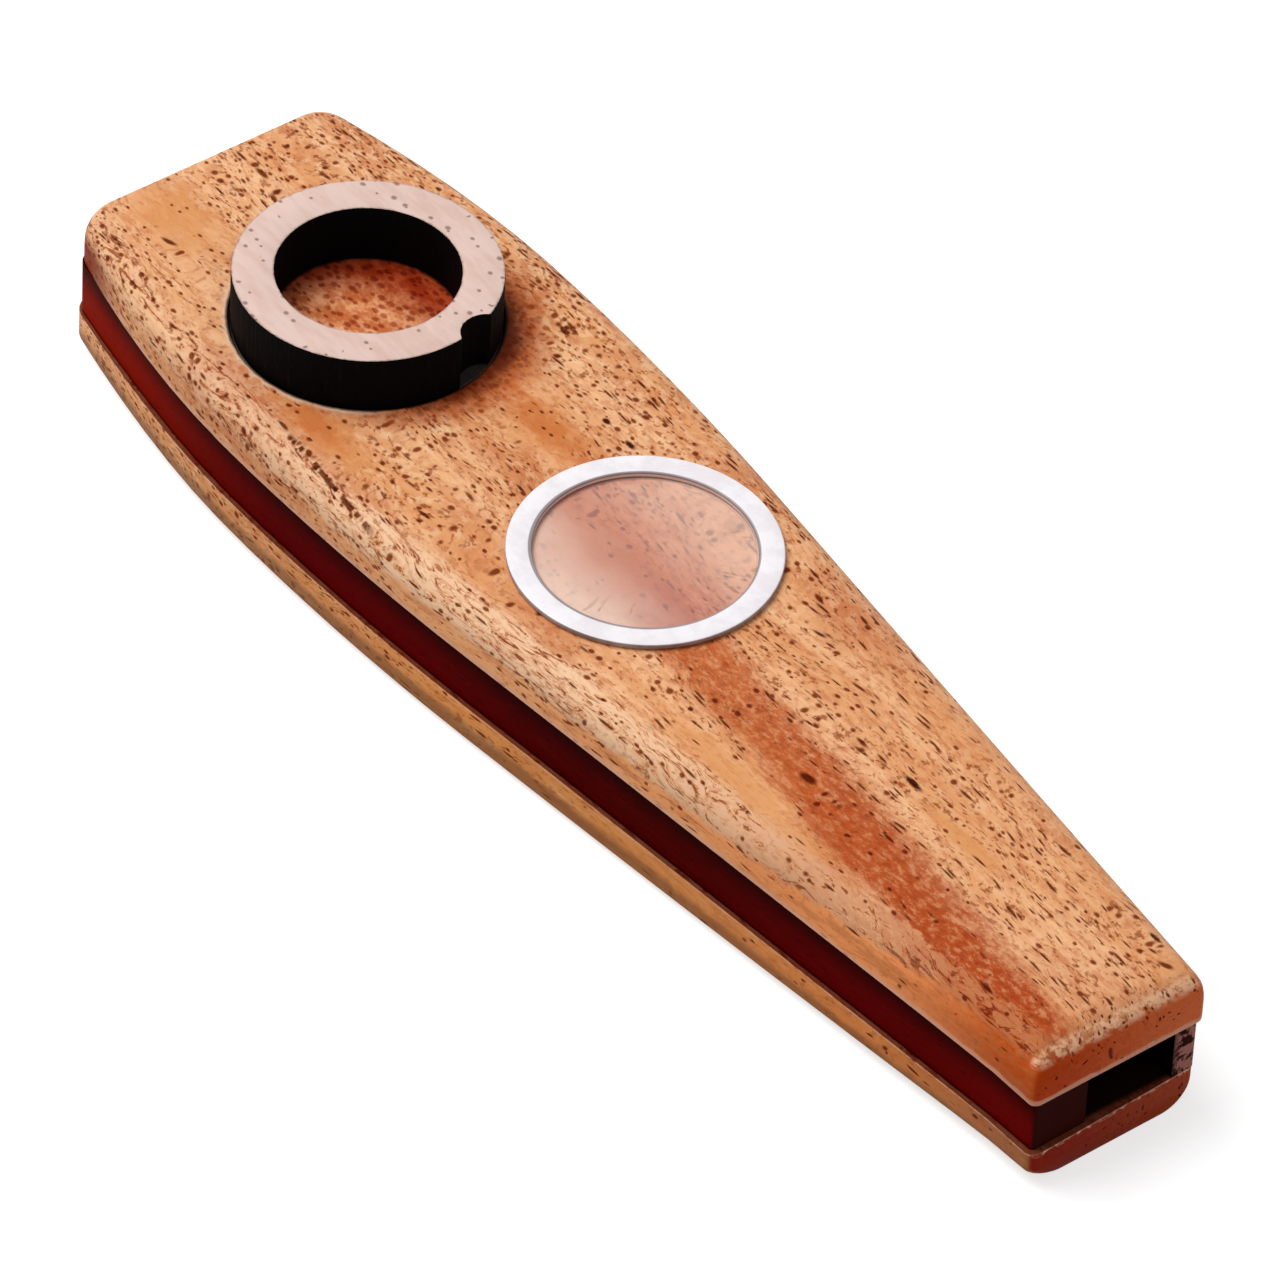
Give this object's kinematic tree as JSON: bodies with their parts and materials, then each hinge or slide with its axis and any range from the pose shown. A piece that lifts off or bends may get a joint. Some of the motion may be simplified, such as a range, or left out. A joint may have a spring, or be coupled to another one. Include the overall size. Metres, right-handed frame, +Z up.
{
  "type": "kazoo",
  "caption": "Flat wooden kazoo: sanded plates on dark side rails, a charred ring that clamps a diaphragm over the sound hole, and a spare diaphragm on top.",
  "frame": {"origin": "on the surface that the kazoo rests on, under the middle of its length and width", "axes": "+X along the body from the wide end to the narrow end, +Y to the left seen from the wide end, +Z up through the sound hole and the ring"},
  "size_m": [0.12, 0.0326, 0.0184],
  "materials": {
    "top_wood": "sanded and oiled mahogany, open dark pores",
    "bottom_wood": "sanded and oiled mahogany, open dark pores",
    "rail_wood": "dark red-brown hardwood, smooth",
    "ring_wood": "pale laser-cut wood with charred black walls",
    "rim_plastic": "white, satin",
    "clamped_film": "thin tan skin, speckled, in the shade of the ring",
    "spare_film": "thin translucent skin with a faint pink haze"
  },
  "bodies": {
    "body": {"bottom_plate": "bottom_wood", "left_rail": "rail_wood", "right_rail": "rail_wood", "top_plate": "top_wood"},
    "ring": {"clamp_ring": "ring_wood"},
    "diaphragm": {"diaphragm_rim": "rim_plastic", "diaphragm_film": "clamped_film"},
    "spare": {"spare_rim": "rim_plastic", "spare_film": "spare_film"}
  },
  "joints": [
    {"name": "ring_lift", "type": "slide", "parent": "body", "child": "ring", "axis": [0, 0, 1], "range_m": [0, 0.012]},
    {"name": "diaphragm_lift", "type": "slide", "parent": "body", "child": "diaphragm", "axis": [0, 0, 1], "range_m": [0, 0.006]},
    {"name": "spare_lift", "type": "slide", "parent": "body", "child": "spare", "axis": [0, 0, 1], "range_m": [0, 0.008]}
  ],
  "couplings": [
    {"joint": "diaphragm_lift", "follows": "ring_lift", "ratio": 0.5}
  ]
}
